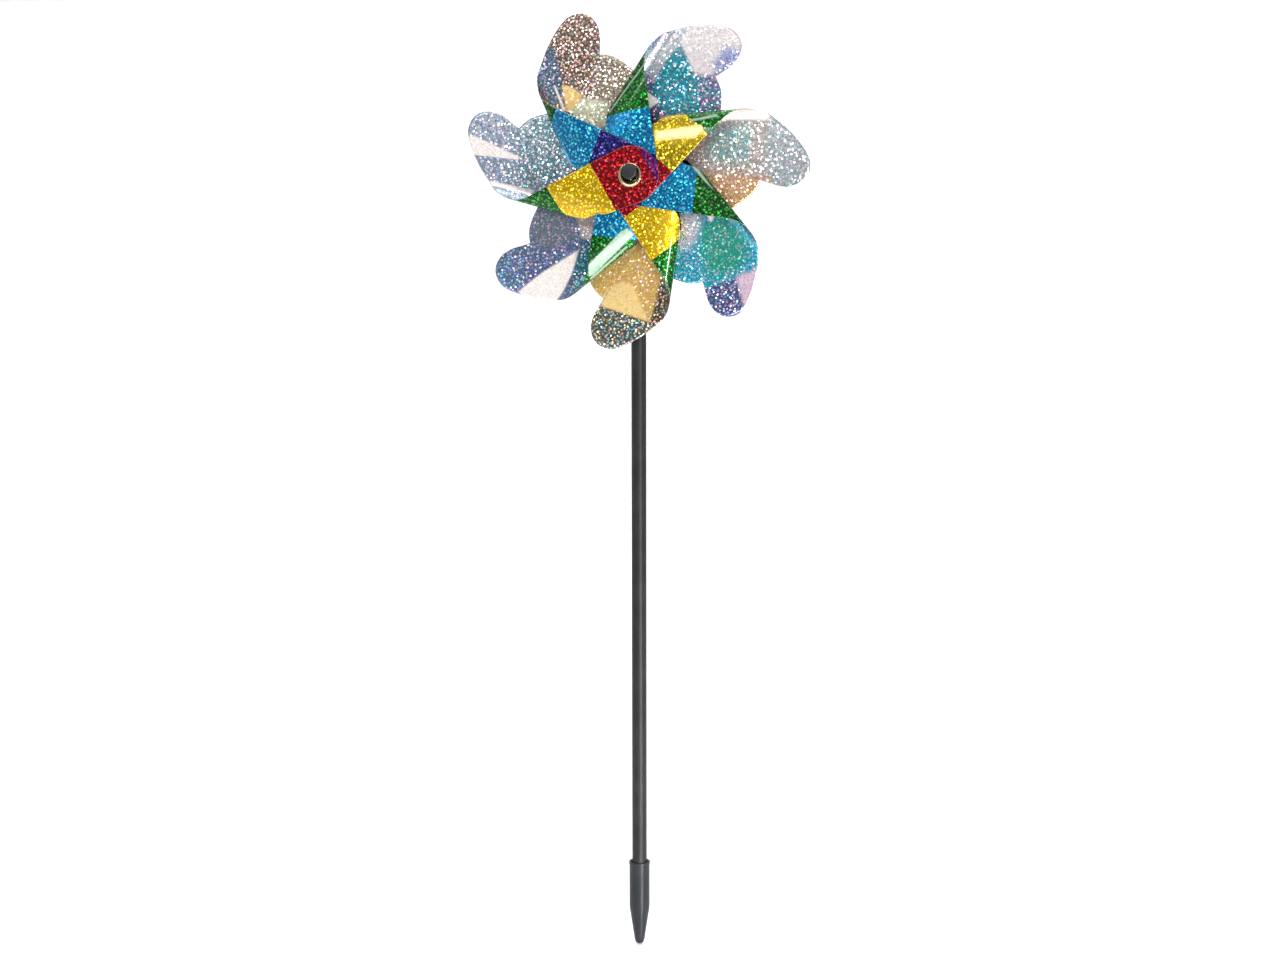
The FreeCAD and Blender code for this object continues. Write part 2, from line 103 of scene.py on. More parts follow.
class FilmColours(bpy.types.PropertyGroup):
    """Glitter and print of the film"""
    dot_pitch: bpy.props.FloatProperty(
        name="Dot pitch", description="Spacing of the glitter dots", default=1.9 * MM, subtype="DISTANCE")
    rainbow: bpy.props.FloatProperty(
        name="Rainbow", description="Share of a random hue in the odd dots", default=0.45)
    mirror: bpy.props.FloatProperty(
        name="Mirror", description="How metallic the film is", default=0.85)
    tip_of_dots: bpy.props.FloatProperty(
        name="Dot tilt", description="How far the dots tip out of the film", default=0.5)


class HubLook(bpy.types.PropertyGroup):
    """Eyelets and axle pin"""
    brass: bpy.props.FloatVectorProperty(
        name="Eyelet", description="Pale brass", default=(0.72, 0.57, 0.34), subtype="COLOR", size=3)
    pin: bpy.props.FloatVectorProperty(
        name="Pin", description="Black plastic", default=(0.012, 0.012, 0.015), subtype="COLOR", size=3)
    tube: bpy.props.FloatVectorProperty(
        name="Hub tube", description="Natural plastic", default=(0.62, 0.62, 0.60), subtype="COLOR", size=3)


class StakeLook(bpy.types.PropertyGroup):
    """Pole and ground spike"""
    pole: bpy.props.FloatVectorProperty(
        name="Pole", description="Matt charcoal plastic", default=(0.008, 0.008, 0.009),
        subtype="COLOR", size=3)
    spike: bpy.props.FloatVectorProperty(
        name="Spike", description="Dark slate plastic", default=(0.008, 0.0095, 0.012),
        subtype="COLOR", size=3)
    spike_wall: bpy.props.FloatProperty(
        name="Spike wall", description="Barrel radius beyond the pole", default=2.1 * MM,
        subtype="DISTANCE")
    mouth_gap: bpy.props.FloatProperty(
        name="Mouth gap", description="Gap around the pole in the lead-in", default=0.85 * MM,
        subtype="DISTANCE")
    mouth_depth: bpy.props.FloatProperty(
        name="Mouth depth", description="Depth of the lead-in", default=5 * MM, subtype="DISTANCE")
    tip_radius: bpy.props.FloatProperty(
        name="Point", description="Radius of the rounded point", default=3.6 * MM, subtype="DISTANCE")
    barrel: bpy.props.FloatProperty(
        name="Barrel", description="Rim to the start of the taper", default=32.6 * MM, subtype="DISTANCE")


class StageLook(bpy.types.PropertyGroup):
    """Camera, floor and lights"""
    azimuth: bpy.props.FloatProperty(
        name="Azimuth", description="Camera direction round the pole, degrees", default=12.0)
    distance: bpy.props.FloatProperty(
        name="Distance", description="Camera to the pole", default=1.22, subtype="DISTANCE")
    height: bpy.props.FloatProperty(
        name="Height", description="Camera above the ground", default=0.4526, subtype="DISTANCE")
    pitch: bpy.props.FloatProperty(
        name="Pitch", description="Camera below level, degrees", default=8.0)
    lens: bpy.props.FloatProperty(
        name="Lens", description="Focal length in millimetres on a 36 mm sensor", default=49.3)
    card: bpy.props.FloatProperty(
        name="Card", description="Grey of the card behind the camera", default=0.22)
    floor: bpy.props.FloatVectorProperty(
        name="Floor", description="Pale floor and backdrop", default=(0.93, 0.93, 0.93),
        subtype="COLOR", size=3)


# ------------------------------------------------------------------ shader expressions
class Field:
    """A number that varies over a surface.  Arithmetic on it adds Math nodes."""

    def __init__(self, finish, socket):
        self.finish = finish
        self.socket = socket

    def math(self, operation, first, second):
        values = {0: first, 1: second}
        made = self.finish.node("ShaderNodeMath", {"operation": operation}, values)
        return Field(self.finish, made.outputs[0])

    def __add__(self, other):
        return self.math("ADD", self, other)

    def __radd__(self, other):
        return self.math("ADD", other, self)

    def __sub__(self, other):
        return self.math("SUBTRACT", self, other)

    def __rsub__(self, other):
        return self.math("SUBTRACT", other, self)

    def __mul__(self, other):
        return self.math("MULTIPLY", self, other)

    def __rmul__(self, other):
        return self.math("MULTIPLY", other, self)

    def __truediv__(self, other):
        return self.math("DIVIDE", self, other)

    def __gt__(self, other):
        return self.math("GREATER_THAN", self, other)

    def between(self, low, high):
        """0 below low, 1 above high, smooth in between."""
        made = self.finish.node("ShaderNodeMapRange", {"interpolation_type": "SMOOTHSTEP"},
                                {"Value": self, "From Min": low, "From Max": high})
        return Field(self.finish, made.outputs["Result"])


class Finish:
    """One procedural material."""

    def __init__(self, name):
        self.material = bpy.data.materials.new(name)
        self.material.use_nodes = True
        self.tree = self.material.node_tree
        self.tree.nodes.clear()
        self.surface = self.node("ShaderNodeBsdfPrincipled")
        output = self.node("ShaderNodeOutputMaterial")
        self.tree.links.new(self.surface.outputs[0], output.inputs["Surface"])

    def node(self, kind, settings=None, values=None):
        """Add a node: its settings first, then a value or a link for each named socket."""
        made = self.tree.nodes.new(kind)
        for key, value in (settings or {}).items():
            setattr(made, key, value)
        for key, value in (values or {}).items():
            self.feed(made.inputs[key], value)
        return made

    def feed(self, socket, value):
        """Link a socket to a field or another socket, or set its constant."""
        if isinstance(value, Field):
            value = value.socket
        if isinstance(value, bpy.types.NodeSocket):
            self.tree.links.new(value, socket)
        else:
            socket.default_value = value

    def set(self, **values):
        """Feed sockets of the main shader; words joined by underscores name a socket."""
        for key, value in values.items():
            self.feed(self.surface.inputs[key.replace("_", " ")], value)

    def object_place(self):
        return self.node("ShaderNodeTexCoord").outputs["Object"]

    def attribute(self, name):
        return self.node("ShaderNodeAttribute", {"attribute_name": name})

    def parts(self, vector):
        """The three numbers of a vector."""
        split = self.node("ShaderNodeSeparateXYZ", None, {0: vector})
        return [Field(self, socket) for socket in split.outputs]

    def vector(self, operation, first, second):
        made = self.node("ShaderNodeVectorMath", {"operation": operation}, {0: first, 1: second})
        return made.outputs[0]

    def scaled(self, vector, amount):
        made = self.node("ShaderNodeVectorMath", {"operation": "SCALE"}, {0: vector, "Scale": amount})
        return made.outputs[0]

    def joined(self, first, second, third):
        made = self.node("ShaderNodeCombineXYZ", None, {0: first, 1: second, 2: third})
        return made.outputs[0]

    def mix(self, amount, first, second):
        """Colour mix."""
        made = self.node("ShaderNodeMix", {"data_type": "RGBA", "clamp_result": True},
                         {0: amount, 6: colour4(first), 7: colour4(second)})
        return made.outputs[2]

    def noise(self, vector, scale, detail=3.0, roughness=0.5):
        made = self.node("ShaderNodeTexNoise", None, {"Vector": vector, "Scale": scale,
                                                      "Detail": detail, "Roughness": roughness})
        return Field(self, made.outputs["Fac"])

    def cells(self, vector, scale):
        """Distance to the nearest cell centre in the plane, and the cell's own random colour."""
        made = self.node("ShaderNodeTexVoronoi", {"voronoi_dimensions": "2D"},
                         {"Vector": vector, "Scale": scale})
        return Field(self, made.outputs["Distance"]), made.outputs["Color"]

    def inside(self, place, corners, soft):
        """1 inside a convex outline, 0 outside it, smooth over soft; all in millimetres.

        The corners run counter-clockwise; each side cuts off its own right-hand half plane.
        """
        mask = None
        for start, end in zip(corners, corners[1:] + corners[:1]):
            length = math.hypot(end[0] - start[0], end[1] - start[1])
            inward = ((start[1] - end[1]) / length, (end[0] - start[0]) / length, 0.0)
            edge = (inward[0] * start[0] + inward[1] * start[1]) * MM
            deep = self.node("ShaderNodeVectorMath", {"operation": "DOT_PRODUCT"}, {0: place, 1: inward})
            part = Field(self, deep.outputs["Value"]).between(edge - soft * MM, edge + soft * MM)
            mask = part if mask is None else mask * part
        return mask

    def rough_skin(self, height, strength, depth):
        """Bump from a height field."""
        made = self.node("ShaderNodeBump", None, {"Height": height, "Strength": strength,
                                                  "Distance": depth})
        self.set(Normal=made.outputs["Normal"])


def colour4(value):
    """A colour with its fourth number, or a socket as it is."""
    if isinstance(value, (Field, bpy.types.NodeSocket)):
        return value
    return (value[0], value[1], value[2], 1.0)


# ------------------------------------------------------------------ finishes
def shade(red, green, blue):
    """Linear colour from display values of 0 to 255."""
    return tuple((part / 255) ** 2.2 for part in (red, green, blue))


def holographic(look, place, inks, zones, colours, seed, rainbow):
    """Film face: ground with glitter dots, in inks that change from zone to zone.

    Inks are (ground, first dot, second dot, plainness).  A dot is a disc around the centre of
    a cell of the dot pitch; each one takes the first or the second dot colour, or a random
    hue, and tips its own way.  Plainness hides dots and dulls the mirror.
    """
    near, pick = look.cells(look.vector("ADD", place, (seed * 0.37, seed * 0.21, 0)), 1 / colours.dot_pitch)
    _, fine = look.cells(look.vector("ADD", place, (seed * 0.11, seed * 0.53, 0)), 2.6 / colours.dot_pitch)
    choose, spread, strength = look.parts(pick)
    speckle, _, pale = look.parts(fine)
    ground, first, second, plain = inks
    # Zones swap in their own inks: print bands on the arms, and painted reflections and painted highlights.
    for inside, zone_inks in zones:
        ground = look.mix(inside, ground, zone_inks[0])
        first = look.mix(inside, first, zone_inks[1])
        second = look.mix(inside, second, zone_inks[2])
        plain = plain + (zone_inks[3] - plain) * inside
    size = 0.28 + 0.15 * spread
    dots = (1 - near.between(size - 0.08, size + 0.08)) * (1 - plain)
    hue = look.node("ShaderNodeCombineColor", {"mode": "HSV"}, {0: strength * 3.0, 1: 0.45, 2: 0.95}).outputs[0]
    dot_colour = look.mix(choose > 0.5, first, second)
    dot_colour = look.mix(rainbow * (spread > 0.62), dot_colour, hue)
    light = 0.82 + 0.36 * pale
    ground = look.vector("MULTIPLY", ground, look.joined(light, light, light))
    look.set(Base_Color=look.mix(dots, ground, dot_colour), Metallic=colours.mirror * (1 - 0.8 * plain),
             Roughness=0.32 - 0.10 * dots)
    push = dots * colours.tip_of_dots
    look.set(Normal=tilted_normal(look, ((pick, push), (fine, 0.10 * (1 - plain)))))
    look.set(Coat_Weight=0.6, Coat_Roughness=0.03, Coat_IOR=1.5)


def tilted_normal(look, pushes):
    """Surface normal pushed sideways by random colours, each by its own amount."""
    normal = look.node("ShaderNodeNewGeometry").outputs["Normal"]
    for pick, amount in pushes:
        push = look.vector("SUBTRACT", pick, (0.5, 0.5, 0.5))
        normal = look.vector("ADD", normal, look.scaled(push, amount))
    return look.node("ShaderNodeVectorMath", {"operation": "NORMALIZE"}, {0: normal}).outputs[0]


def silver_film_finish(name, inks, zones, colours, seed):
    """Plain holographic film with painted reflection: its zones paint in the tints of the bent film around it
    and of the lamps that it mirrors.
    """
    look = Finish(name)
    place = look.attribute("film_place").outputs["Vector"]
    marked = [(look.inside(place, corners, soft), zone_inks) for corners, soft, zone_inks in zones]
    holographic(look, place, inks, marked, colours, seed, colours.rainbow)
    return look.material


def printed_film_finish(name, bands, show_through_and_painted_highlights, hub_along, colours, seed):
    """Back face of the film: printed bands across the arm, each (start, inks), its show-through zone and its
    painted highlights.
    """
    look = Finish(name)
    place = look.attribute("film_place").outputs["Vector"]
    across, along, _ = look.parts(place)
    side = hub_along - along
    # Distance from the wheel centre along the arm's own slanted axis.
    reach = (across + side) / math.sqrt(2)
    marked = [(reach > start, inks) for start, inks in bands[1:]]
    arm_place = look.joined(across, side, 0.0)
    # Zones on the arm: painted highlights, pale bands where a lamp's reflection lies, and the next colour
    # showing through at the tip.
    marked += [(look.inside(arm_place, corners, soft), inks) for corners, soft, inks in show_through_and_painted_highlights]
    holographic(look, place, bands[0][1], marked, colours, seed, colours.rainbow * 0.15)
    return look.material


def film_edge_finish(name, colour):
    """Cut edge of the film."""
    look = Finish(name)
    speck = look.noise(look.object_place(), 900.0, 2.0)
    look.set(Base_Color=look.mix(speck.between(0.35, 0.7), colour, (0.85, 0.86, 0.88)),
             Roughness=0.35, Metallic=0.6)
    return look.material


def brass_finish(name, colour):
    """Pale rolled brass: soft polish, faint turning marks and a little tarnish in patches."""
    look = Finish(name)
    place = look.object_place()
    tarnish = look.noise(place, 420.0, 4.0).between(0.45, 0.8)
    dull = [part * 0.72 for part in colour]
    marks = look.noise(look.vector("MULTIPLY", place, (1.0, 14.0, 1.0)), 1600.0, 2.0)
    look.set(Base_Color=look.mix(tarnish * 0.5, colour, dull), Metallic=1.0,
             Roughness=0.13 + 0.12 * tarnish + 0.05 * marks)
    look.rough_skin(marks, 0.12, 0.02 * MM)
    return look.material


def plastic_finish(name, colour, roughness, grain, depth, streak=0.0, shine=0.4, turned=0.0):
    """Moulded or drawn plastic: fine grain, small colour drift, optional drawing streaks along Z.

    turned stretches the gloss along the piece, as fine rings around it do.
    """
    look = Finish(name)
    place = look.object_place()
    drift = look.noise(place, 60.0, 3.0)
    pale = [min(1.0, part * 1.35 + 0.004) for part in colour]
    skin = look.noise(place, grain, 3.0, 0.6)
    height = skin
    if streak:
        lines = look.noise(look.vector("MULTIPLY", place, (1.0, 1.0, 0.02)), 1500.0, 2.0)
        height = skin + streak * lines
    look.set(Base_Color=look.mix(drift.between(0.35, 0.7), colour, pale),
             Roughness=roughness - 0.06 + 0.12 * skin)
    look.feed(look.surface.inputs["Specular IOR Level"], shine)
    look.set(Anisotropic=turned, Anisotropic_Rotation=0.25)
    look.rough_skin(height, 0.35, depth)
    return look.material


# ------------------------------------------------------------------ inks and zones of the film
# Inks are (ground, first dot, second dot, plainness).
RED = (shade(112, 0, 8), shade(236, 8, 40), shade(165, 0, 20), 0.0)
PURPLE = (shade(88, 8, 80), shade(140, 28, 120), shade(110, 12, 100), 0.0)
YELLOW = (shade(202, 158, 0), shade(255, 238, 60), shade(230, 188, 0), 0.0)
GOLD = (shade(150, 124, 0), shade(246, 228, 50), shade(205, 168, 0), 0.0)
INDIGO = (shade(24, 20, 88), shade(58, 66, 150), shade(34, 32, 112), 0.0)
BLUE = (shade(0, 98, 150), shade(58, 204, 222), shade(0, 142, 186), 0.0)
GREEN = (shade(0, 58, 12), shade(30, 165, 44), shade(0, 108, 26), 0.0)
SILVER = (shade(150, 150, 156), shade(232, 234, 240), shade(176, 186, 204), 0.0)
# Painted highlights: pale, plain inks painted where a lamp's reflection lies on the film, as bands along the
# arms and wedges on the petals.
WHITE_PAINTED_HIGHLIGHT = (shade(228, 218, 212), shade(236, 230, 225), shade(218, 211, 210), 0.9)
GREEN_PAINTED_HIGHLIGHT = (shade(148, 176, 150), shade(166, 190, 168), shade(134, 166, 140), 0.85)
YELLOW_PAINTED_HIGHLIGHT = (shade(208, 186, 112), shade(216, 196, 128), shade(198, 172, 96), 0.8)
BLUE_PAINTED_HIGHLIGHT = (shade(90, 170, 205), shade(150, 205, 225), shade(80, 160, 200), 0.8)

# Each blade's print: inks of the first and middle bands and where they end along the arm, in mm.
PRINTS = (
    (RED, YELLOW, 20.2, 54.5), (INDIGO, BLUE, 29.7, 65.0), (INDIGO, BLUE, 10.6, 41.7),
    (RED, GOLD, 20.2, 54.5), (INDIGO, BLUE, 9.2, 44.5), (RED, YELLOW, 20.2, 54.5),
    (INDIGO, BLUE, 9.2, 43.1))

# Where the next colour shows through the warm tip on top.
PURPLE_LENS = ((-20.5, 1.3), (-17.0, -10.0), (-12.3, -15.6), (-6.5, -18.5), (-0.4, -18.9))

# Painted highlights on each arm, and the zone where the next colour shows through the tip: (corners on the arm
# in mm, softness in mm, inks).
ARM_SHOW_THROUGH_AND_PAINTED_HIGHLIGHTS = (
    ((PURPLE_LENS, 0.3, PURPLE),),
    ((((21.8, 35.1), (35.6, 36.7), (36.5, 38.6), (23, 37.6)), 0.6, BLUE_PAINTED_HIGHLIGHT),),
    ((((63, 33.0), (69, 33.6), (26, 37.4), (25.8, 36.2)), 0.5, GREEN_PAINTED_HIGHLIGHT),),
    ((((18.5, 21.1), (45.7, 20.6), (51.5, 26.9), (49.7, 29.7), (21, 27.5)), 0.5, YELLOW_PAINTED_HIGHLIGHT),
     (((43.2, 32.2), (60.8, 34), (60.9, 36), (43.2, 33.8)), 0.5, GREEN_PAINTED_HIGHLIGHT)),
    ((((18.7, 35.7), (35.3, 36.1), (44.3, 37.5), (22.3, 38.9)), 0.6, GREEN_PAINTED_HIGHLIGHT),),
    (),
    ((((23.6, 26.4), (29.1, 25.5), (60.4, 29.4), (65.4, 35.8), (62.8, 37), (23.2, 32.6)), 0.5, GREEN_PAINTED_HIGHLIGHT),
     (((32.5, 35.6), (65.7, 37.3), (66.4, 39.2), (32.2, 37)), 0.4, GREEN_PAINTED_HIGHLIGHT)))

# Each petal: its inks, then zones of painted reflection, lighter and darker, where the film mirrors the arms
# and lamps: (corners on the petal in mm, softness in mm, inks).
PETALS = (
    ((shade(166, 172, 182), shade(212, 238, 252), shade(135, 165, 220), 0.0), (
        (((75, 40), (38, 15), (55, -35), (88, -17)), 12,
         (shade(125, 145, 152), shade(228, 246, 250), shade(105, 170, 185), 0.0)),
        (((112, 16), (81, 11), (80, 9), (116, 3), (124, 8)), 0.8, WHITE_PAINTED_HIGHLIGHT),
        (((97, 33), (67, 31), (65, 28), (98, 30)), 0.8, WHITE_PAINTED_HIGHLIGHT))),
    ((shade(104, 92, 92), shade(250, 236, 205), shade(226, 170, 135), 0.0), (
        (((57, 8), (36, -21), (69, -40), (90, -10)), 6,
         (shade(138, 124, 110), shade(252, 249, 236), shade(220, 205, 175), 0.0)),
        (((87, 40), (66, 34), (73, 23), (104, 17), (108, 25)), 2.5,
         (shade(84, 98, 112), shade(140, 175, 190), shade(135, 142, 185), 0.1)),
        (((60, 26), (44, 17), (36, 5), (53, -3), (64, 14)), 1.5,
         (shade(204, 208, 176), shade(235, 235, 215), shade(200, 205, 176), 0.4)),
        (((58, 27), (60, 19), (65, 12), (76, 19), (78, 23)), 0.8,
         (shade(226, 190, 122), shade(240, 218, 165), shade(232, 192, 122), 0.6)),
        (((60, 29), (60, 27), (80, 27), (80, 28.5)), 0.5, WHITE_PAINTED_HIGHLIGHT))),
    ((shade(88, 118, 146), shade(130, 200, 210), shade(212, 140, 182), 0.0), (
        (((57, 27), (70, 18), (95, 18), (112, 26), (69, 40)), 4,
         (shade(165, 172, 175), shade(222, 226, 226), shade(180, 190, 195), 0.3)),
        (((79, 4), (84, -6), (105, -17), (124, -10), (114, 22), (91, 24)), 2.5,
         (shade(206, 198, 196), shade(226, 219, 219), shade(186, 181, 206), 0.6)),
        (((92, -20), (112, -22), (108, -4), (90, -4)), 4,
         (shade(140, 150, 190), shade(200, 200, 226), shade(160, 150, 205), 0.1)),
        (((74, 25), (50, 22), (45, 6), (60, -14), (78, 1), (91, 22)), 1.6,
         (shade(50, 138, 165), shade(95, 195, 210), shade(60, 160, 120), 0.0)),
        (((41, 17), (51, 13), (51, 26)), 0.8, WHITE_PAINTED_HIGHLIGHT))),
    ((shade(176, 166, 160), shade(255, 253, 250), shade(225, 190, 150), 0.0), (
        (((87, -18), (126, -22), (129, 32), (91, 35)), 8,
         (shade(176, 180, 182), shade(255, 255, 255), shade(135, 188, 198), 0.0)),
        (((50, 6), (79, 2), (83, 27), (52, 31)), 6,
         (shade(146, 176, 172), shade(250, 246, 232), shade(110, 180, 190), 0.0)),
        (((52, -22), (67, -31), (88, -21), (94, -9), (45, -2)), 4,
         (shade(212, 168, 114), shade(255, 234, 176), shade(232, 168, 150), 0.0)),
        (((57, 33), (94, 29), (90, 38), (60, 41)), 1.5, WHITE_PAINTED_HIGHLIGHT))),
    ((shade(86, 88, 130), shade(185, 178, 218), shade(80, 142, 196), 0.0), (
        (((62, -30), (90, -13), (104, 24), (95, 36), (52, 36), (36, 2)), 1.2,
         (shade(22, 156, 184), shade(96, 205, 222), shade(175, 185, 210), 0.2)),
        (((64, 4), (86, -6), (98, 14), (86, 32), (60, 32), (54, 14)), 7,
         (shade(42, 146, 124), shade(96, 200, 176), shade(34, 160, 156), 0.3)),
        (((122, 0), (122, 14), (104, 27), (98, 10)), 2,
         (shade(205, 178, 196), shade(228, 210, 225), shade(185, 160, 195), 0.5)),
        (((46, 22), (58, 20), (54, 30)), 0.8, WHITE_PAINTED_HIGHLIGHT),
        (((40, -5), (54, -14), (62, 0), (50, 18), (42, 14)), 5,
         (shade(222, 234, 240), shade(252, 252, 253), shade(225, 175, 190), 0.0)))),
    ((shade(86, 100, 100), shade(165, 215, 205), shade(205, 160, 100), 0.0), (
        (((91, -12), (97, 25), (60, 32), (42, 10), (78, -30)), 1.0,
         (shade(216, 172, 84), shade(252, 224, 130), shade(215, 170, 150), 0.25)),
        (((80, -9), (91, -12), (96, 24), (73, 9), (72, 2)), 1.2,
         (shade(234, 200, 126), shade(240, 222, 165), shade(232, 190, 112), 0.6)),
        (((100, 26), (98, 32), (80, 38), (64, 28)), 2,
         (shade(78, 72, 64), shade(190, 190, 150), shade(170, 120, 80), 0.0)))),
    ((shade(112, 118, 136), shade(125, 170, 225), shade(68, 112, 192), 0.0), (
        (((100, -14), (122, -8), (122, 20), (108, 12)), 6,
         (shade(110, 135, 165), shade(160, 220, 238), shade(75, 125, 205), 0.0)),
        (((85, -11), (82, 1), (56, 8), (52, -12), (71, -26)), 5,
         (shade(100, 106, 114), shade(116, 146, 192), shade(104, 120, 142), 0.45)),
        (((74, 25), (94, 40), (73, 45), (48, 17), (58, 10)), 1.5,
         (shade(58, 112, 126), shade(180, 228, 232), shade(80, 150, 180), 0.0)),
        (((94, 11), (113, 11), (111, 25), (100, 34), (88, 31), (74, 24), (62, 15)), 1.0, WHITE_PAINTED_HIGHLIGHT),
        (((56, 11), (48, 16), (35, 3), (49, -7)), 1.5,
         (shade(190, 180, 178), shade(250, 245, 235), shade(215, 200, 190), 0.3)))))


# ------------------------------------------------------------------ surfaces
def make_piece(name, points, faces, finishes):
    """Mesh object from whole arrays; faces is a list of arrays with one row per face."""
    mesh = bpy.data.meshes.new(name)
    rows = []
    for block in faces:
        rows += block.tolist()
    mesh.from_pydata(points.reshape(-1, 3), [], rows)
    mesh.validate()
    for finish in finishes:
        mesh.materials.append(finish)
    mesh.polygons.foreach_set("use_smooth", np.ones(len(mesh.polygons), bool))
    piece = bpy.data.objects.new(name, mesh)
    bpy.context.scene.collection.objects.link(piece)
    return piece


def grid_faces(rows, columns, wrap=False):
    """Quads of a grid with rows x columns points; wrap joins the last column to the first."""
    row, column = np.meshgrid(np.arange(rows - 1), np.arange(columns if wrap else columns - 1),
                              indexing="ij")
    after = (column + 1) % columns
    first = row * columns + column
    second = row * columns + after
    return np.stack([first, second, second + columns, first + columns], -1).reshape(-1, 4)


def turned_piece(name, outline, centre, forward, finish, steps=96):
    """Solid of revolution.

    outline rows are (radius, distance along the axis).  The axis is +Z, or -Y when forward
    is set.  Point = centre + radius (cos a, sin a) across the axis + distance along it.  An
    outline that starts or ends on the axis gets a single point there; otherwise its last row
    joins its first, which makes a ring.
    """
    outline = np.asarray(outline, float)
    angle = np.linspace(0, 2 * math.pi, steps, endpoint=False)
    on_axis = outline[:, 0] < 1e-7
    rings = outline[~on_axis]
    radius = rings[:, :1]
    across = radius * np.cos(angle)
    upward = radius * np.sin(angle)
    along = np.repeat(rings[:, 1:], steps, 1)
    poles = outline[on_axis]
    if forward:
        points = np.stack([across, -along, upward], -1).reshape(-1, 3)
        ends = np.stack([0 * poles[:, 0], -poles[:, 1], 0 * poles[:, 0]], -1)
    else:
        points = np.stack([across, upward, along], -1).reshape(-1, 3)
        ends = np.stack([0 * poles[:, 0], 0 * poles[:, 0], poles[:, 1]], -1)
    count = len(rings)
    faces = [grid_faces(count, steps, wrap=True)]
    here = np.arange(steps)
    after = (here + 1) % steps
    if len(poles) == 2:
        low = np.full(steps, count * steps)
        last = (count - 1) * steps
        faces.append(np.stack([low, after, here], -1))
        faces.append(np.stack([low + 1, last + here, last + after], -1))
    else:
        last = (count - 1) * steps
        faces.append(np.stack([last + here, last + after, after, here], -1))
    points = np.vstack([points, ends]) if len(poles) else points
    piece = make_piece(name, points + np.asarray(centre), faces, [finish])
    if piece_volume(piece) < 0:
        piece.data.flip_normals()
    return piece


def piece_volume(piece):
    """Signed volume of a closed mesh, from the triangles of its faces."""
    mesh = piece.data
    mesh.calc_loop_triangles()
    corners = np.empty(3 * len(mesh.loop_triangles), np.int32)
    mesh.loop_triangles.foreach_get("vertices", corners)
    place = np.empty(3 * len(mesh.vertices))
    mesh.vertices.foreach_get("co", place)
    triangle = place.reshape(-1, 3)[corners.reshape(-1, 3)]
    return float(np.einsum("ij,ij->i", triangle[:, 0], np.cross(triangle[:, 1], triangle[:, 2])).sum())


def rounded(outline, radii, steps=6):
    """Outline with each corner replaced by a quadratic curve that starts radii[i] before it."""
    outline = np.asarray(outline, float)
    parts = []
    share = np.linspace(0, 1, steps)[:, None]
    for index, corner in enumerate(outline):
        radius = radii[index]
        if radius <= 0:
            parts.append(corner[None])
            continue
        before = outline[index - 1] - corner
        after = outline[(index + 1) % len(outline)] - corner
        start = corner + before / np.linalg.norm(before) * radius
        finish = corner + after / np.linalg.norm(after) * radius
        parts.append(start * (1 - share) ** 2 + 2 * corner * share * (1 - share) + finish * share ** 2)
    return np.vstack(parts)


# ------------------------------------------------------------------ film blades
def strip_section(loop, sizes):
    """Section of the bent strip: arrays of run, side and lift.

    Flat back at lift 0, a quarter circle of radius loop / 2 out to the side of the curl, a
    quarter ellipse of width front_ease back in at the front, then flat at lift = loop.  run is
    the length along the film and equals side on the flat back.
    """
    bend = loop / 2
    straight = sizes.curl_side - bend
    turn = np.linspace(0, math.pi / 2, 40)
    side = np.concatenate([[-60 * MM], straight + bend * np.sin(turn),
                           (sizes.curl_side - sizes.front_ease) + sizes.front_ease * np.cos(turn[1:]),
                           [-60 * MM]])
    lift = np.concatenate([[0], bend - bend * np.cos(turn), bend + bend * np.sin(turn[1:]), [loop]])
    run = np.concatenate([[0], np.cumsum(np.hypot(np.diff(side), np.diff(lift)))]) - 60 * MM
    return run, side, lift


def smooth_curve(keys, count=24):
    """Cubic curve through the keys; the slope at a key is half the step between its neighbours."""
    keys = np.asarray(keys, float)
    slope = np.gradient(keys, axis=0)
    share = np.linspace(0, 1, count, endpoint=False)[:, None]
    pieces = []
    for start, end, leave, arrive in zip(keys[:-1], keys[1:], slope[:-1], slope[1:]):
        pieces.append((1 + 2 * share) * (1 - share) ** 2 * start + share * (1 - share) ** 2 * leave
                      + share ** 2 * (3 - 2 * share) * end + share ** 2 * (share - 1) * arrive)
    return np.vstack(pieces + [keys[-1:]])


def even_steps(path, count):
    """count points spaced evenly along a path, both ends included."""
    travelled = np.concatenate([[0], np.cumsum(np.hypot(*np.diff(path, axis=0).T))])
    wanted = np.linspace(0, travelled[-1], count)
    return np.stack([np.interp(wanted, travelled, path[:, 0]), np.interp(wanted, travelled, path[:, 1])], -1)


def hub_arc(radius, start, end, count=20):
    """Arc around the wheel centre, angles in degrees."""
    angle = np.radians(np.linspace(start, end, count))
    return np.stack([radius * np.cos(angle), radius * np.sin(angle)], -1)


